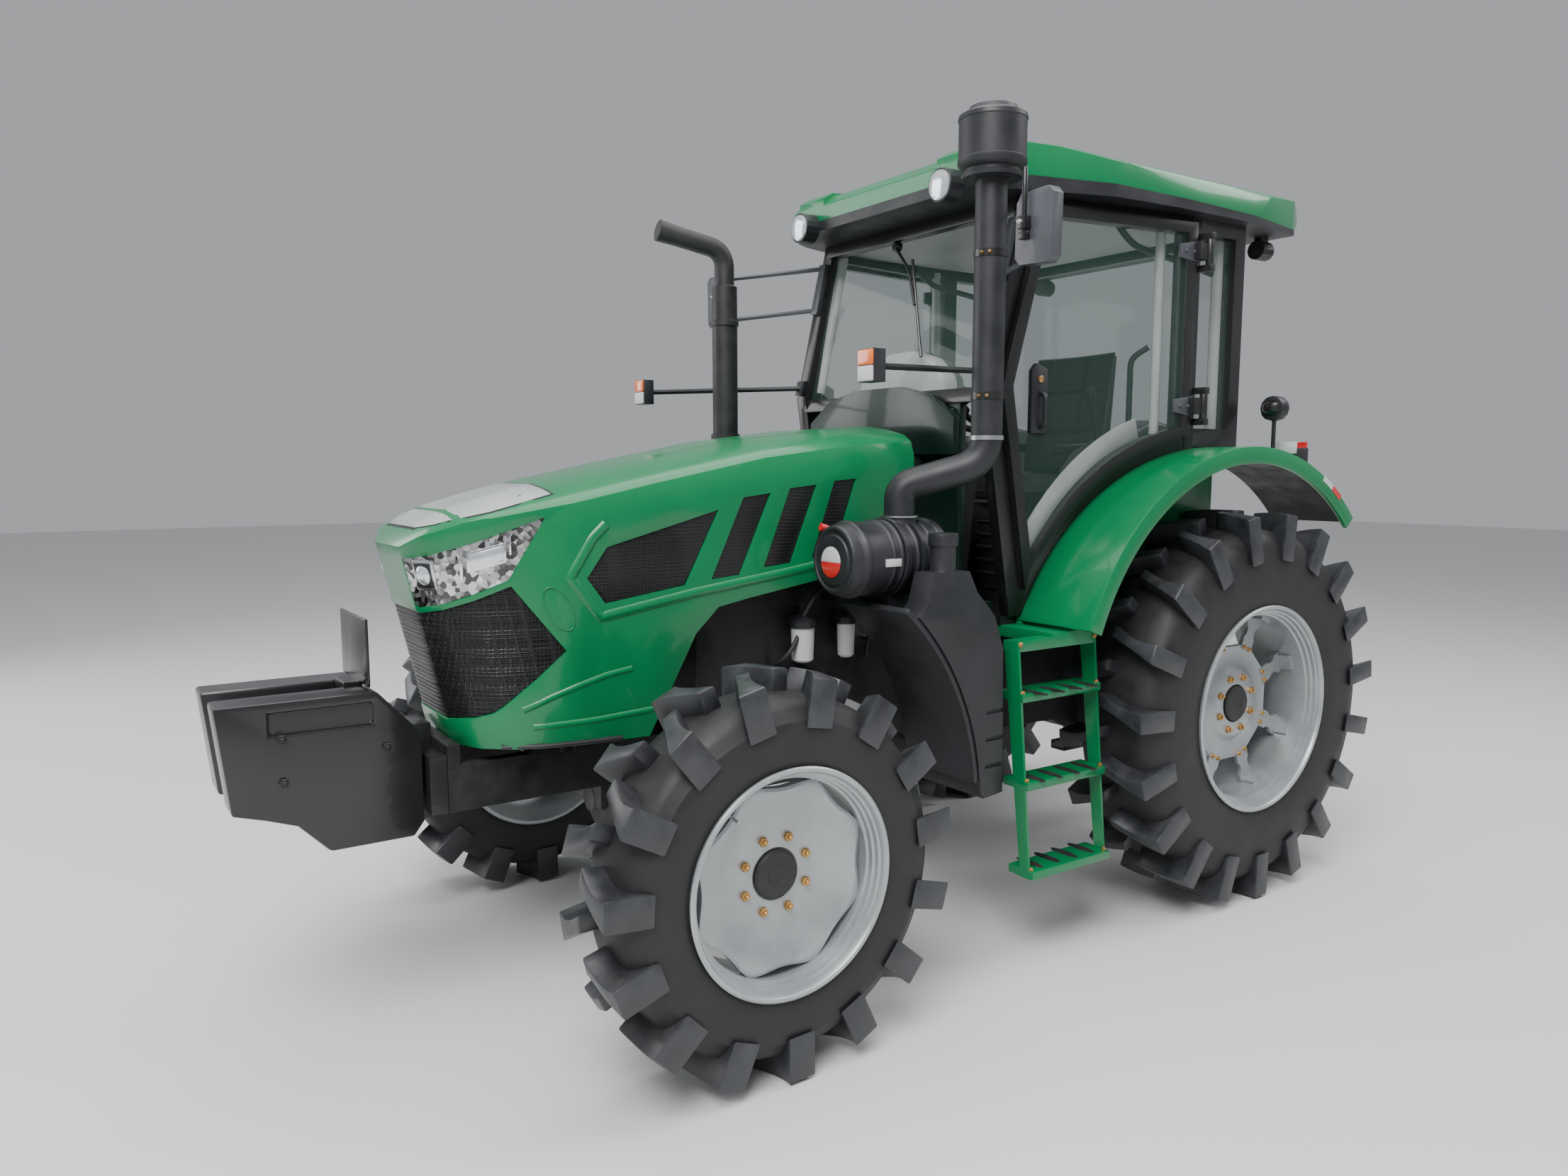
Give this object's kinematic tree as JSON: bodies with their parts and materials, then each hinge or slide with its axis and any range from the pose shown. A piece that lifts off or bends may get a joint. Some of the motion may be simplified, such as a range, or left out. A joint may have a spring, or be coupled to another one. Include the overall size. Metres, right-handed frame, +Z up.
{
  "type": "farm tractor",
  "caption": "Four-wheel-drive farm tractor with a closed two-door cab, high-lug paddy tyres, front weights, hinged hood and rear three-point hitch.",
  "frame": {"origin": "on the ground under the middle of the tractor's length and width, wheels standing on the ground", "axes": "+X towards the tractor's left side, -Y forward (the hood points along -Y), +Z up"},
  "size_m": [2.068, 4.38, 2.7733],
  "materials": {
    "tyre_rubber": "matte",
    "wheel_grey": "satin",
    "green_paint": "gloss",
    "green_moulding": "gloss",
    "black_paint": "satin",
    "cast_black": "satin",
    "black_moulding": "matte",
    "bright_steel": "satin",
    "lamp_lens": "gloss",
    "cab_glass": "gloss",
    "seat_cover": "matte",
    "interior": "matte"
  },
  "bodies": {
    "chassis": {"air_cleaner": "black_moulding", "battery_box": "black_moulding", "cab_floor": "black_paint", "cab_frame": "black_paint", "cab_roof": "green_moulding", "console": "interior", "cowl": "black_paint", "drawbar": "black_paint", "engine": "cast_black", "exhaust": "black_paint", "fender_left": "green_moulding", "fender_right": "green_moulding", "front_axle": "cast_black", "front_frame": "cast_black", "front_weights": "cast_black", "fuel_tank": "black_moulding", "hitch_casting": "cast_black", "intake_stack": "black_moulding", "link_pins": "bright_steel", "mirrors": "black_moulding", "mudguards": "black_moulding", "pto_shaft": "bright_steel", "radiator": "black_paint", "rear_axle": "cast_black", "rear_windows": "cab_glass", "seat": "seat_cover", "steering_wheel": "interior", "steps": "green_paint", "tail_lamps": "lamp_lens", "transmission": "cast_black", "turn_lamps": "black_moulding", "weight_bracket": "black_paint", "windshield": "cab_glass", "work_lamps": "lamp_lens"},
    "hood": {"hood_shell": "green_moulding", "hood_grille": "black_moulding", "hood_vents": "black_moulding", "headlamps": "lamp_lens"},
    "left_door": {"door_left": "black_paint", "door_glass_left": "cab_glass"},
    "right_door": {"door_right": "black_paint", "door_glass_right": "cab_glass"},
    "left_knuckle": {"knuckle_left": "cast_black"},
    "right_knuckle": {"knuckle_right": "cast_black"},
    "tie_rod": {"steering_rod": "bright_steel"},
    "front_left_wheel": {"rim_front_left": "wheel_grey", "tyre_front_left": "tyre_rubber"},
    "front_right_wheel": {"rim_front_right": "wheel_grey", "tyre_front_right": "tyre_rubber"},
    "rear_left_wheel": {"rim_rear_left": "wheel_grey", "tyre_rear_left": "tyre_rubber"},
    "rear_right_wheel": {"rim_rear_right": "wheel_grey", "tyre_rear_right": "tyre_rubber"},
    "arms": {"lift_arms": "black_paint"},
    "links": {"lower_links": "black_paint"},
    "rods": {"lift_rods": "black_paint"}
  },
  "joints": [
    {"name": "hood_hinge", "type": "hinge", "parent": "chassis", "child": "hood", "pos_m": [0, -0.015, 1.743], "axis": [-1, 0, 0], "range_deg": [0, 45]},
    {"name": "left_door_hinge", "type": "hinge", "parent": "chassis", "child": "left_door", "pos_m": [0.746, 1.105, 2.16], "axis": [0, 0, 1], "range_deg": [0, 70]},
    {"name": "right_door_hinge", "type": "hinge", "parent": "chassis", "child": "right_door", "pos_m": [-0.746, 1.105, 2.16], "axis": [0, 0, -1], "range_deg": [0, 70]},
    {"name": "steer_left", "type": "hinge", "parent": "chassis", "child": "left_knuckle", "pos_m": [0.735, -0.94, 0.56], "axis": [0, 0, 1], "range_deg": [-42, 42]},
    {"name": "steer_right", "type": "hinge", "parent": "chassis", "child": "right_knuckle", "pos_m": [-0.735, -0.94, 0.56], "axis": [0, 0, 1], "range_deg": [-42, 42]},
    {"name": "tie_rod_slide", "type": "slide", "parent": "chassis", "child": "tie_rod", "axis": [1, 0, 0], "range_m": [-0.125, 0.125]},
    {"name": "front_left_spin", "type": "hinge", "parent": "left_knuckle", "child": "front_left_wheel", "pos_m": [0.89, -0.94, 0.56], "axis": [1, 0, 0], "continuous": true},
    {"name": "front_right_spin", "type": "hinge", "parent": "right_knuckle", "child": "front_right_wheel", "pos_m": [-0.89, -0.94, 0.56], "axis": [1, 0, 0], "continuous": true},
    {"name": "rear_left_spin", "type": "hinge", "parent": "chassis", "child": "rear_left_wheel", "pos_m": [0.79, 1.26, 0.745], "axis": [1, 0, 0], "continuous": true},
    {"name": "rear_right_spin", "type": "hinge", "parent": "chassis", "child": "rear_right_wheel", "pos_m": [-0.79, 1.26, 0.745], "axis": [1, 0, 0], "continuous": true},
    {"name": "lift", "type": "hinge", "parent": "chassis", "child": "arms", "pos_m": [0, 1.485, 1.05], "axis": [1, 0, 0], "range_deg": [-10, 45]},
    {"name": "link_swing", "type": "hinge", "parent": "chassis", "child": "links", "pos_m": [0, 1.485, 0.62], "axis": [1, 0, 0], "range_deg": [-10, 45]},
    {"name": "rod_swing", "type": "hinge", "parent": "arms", "child": "rods", "pos_m": [0, 1.82735, 0.97723], "axis": [1, 0, 0], "range_deg": [-45, 10]}
  ],
  "couplings": [
    {"joint": "steer_right", "follows": "steer_left", "ratio": 1},
    {"joint": "tie_rod_slide", "follows": "steer_left", "m_per_rad": -0.17},
    {"joint": "link_swing", "follows": "lift", "ratio": 1},
    {"joint": "rod_swing", "follows": "lift", "ratio": -1}
  ]
}
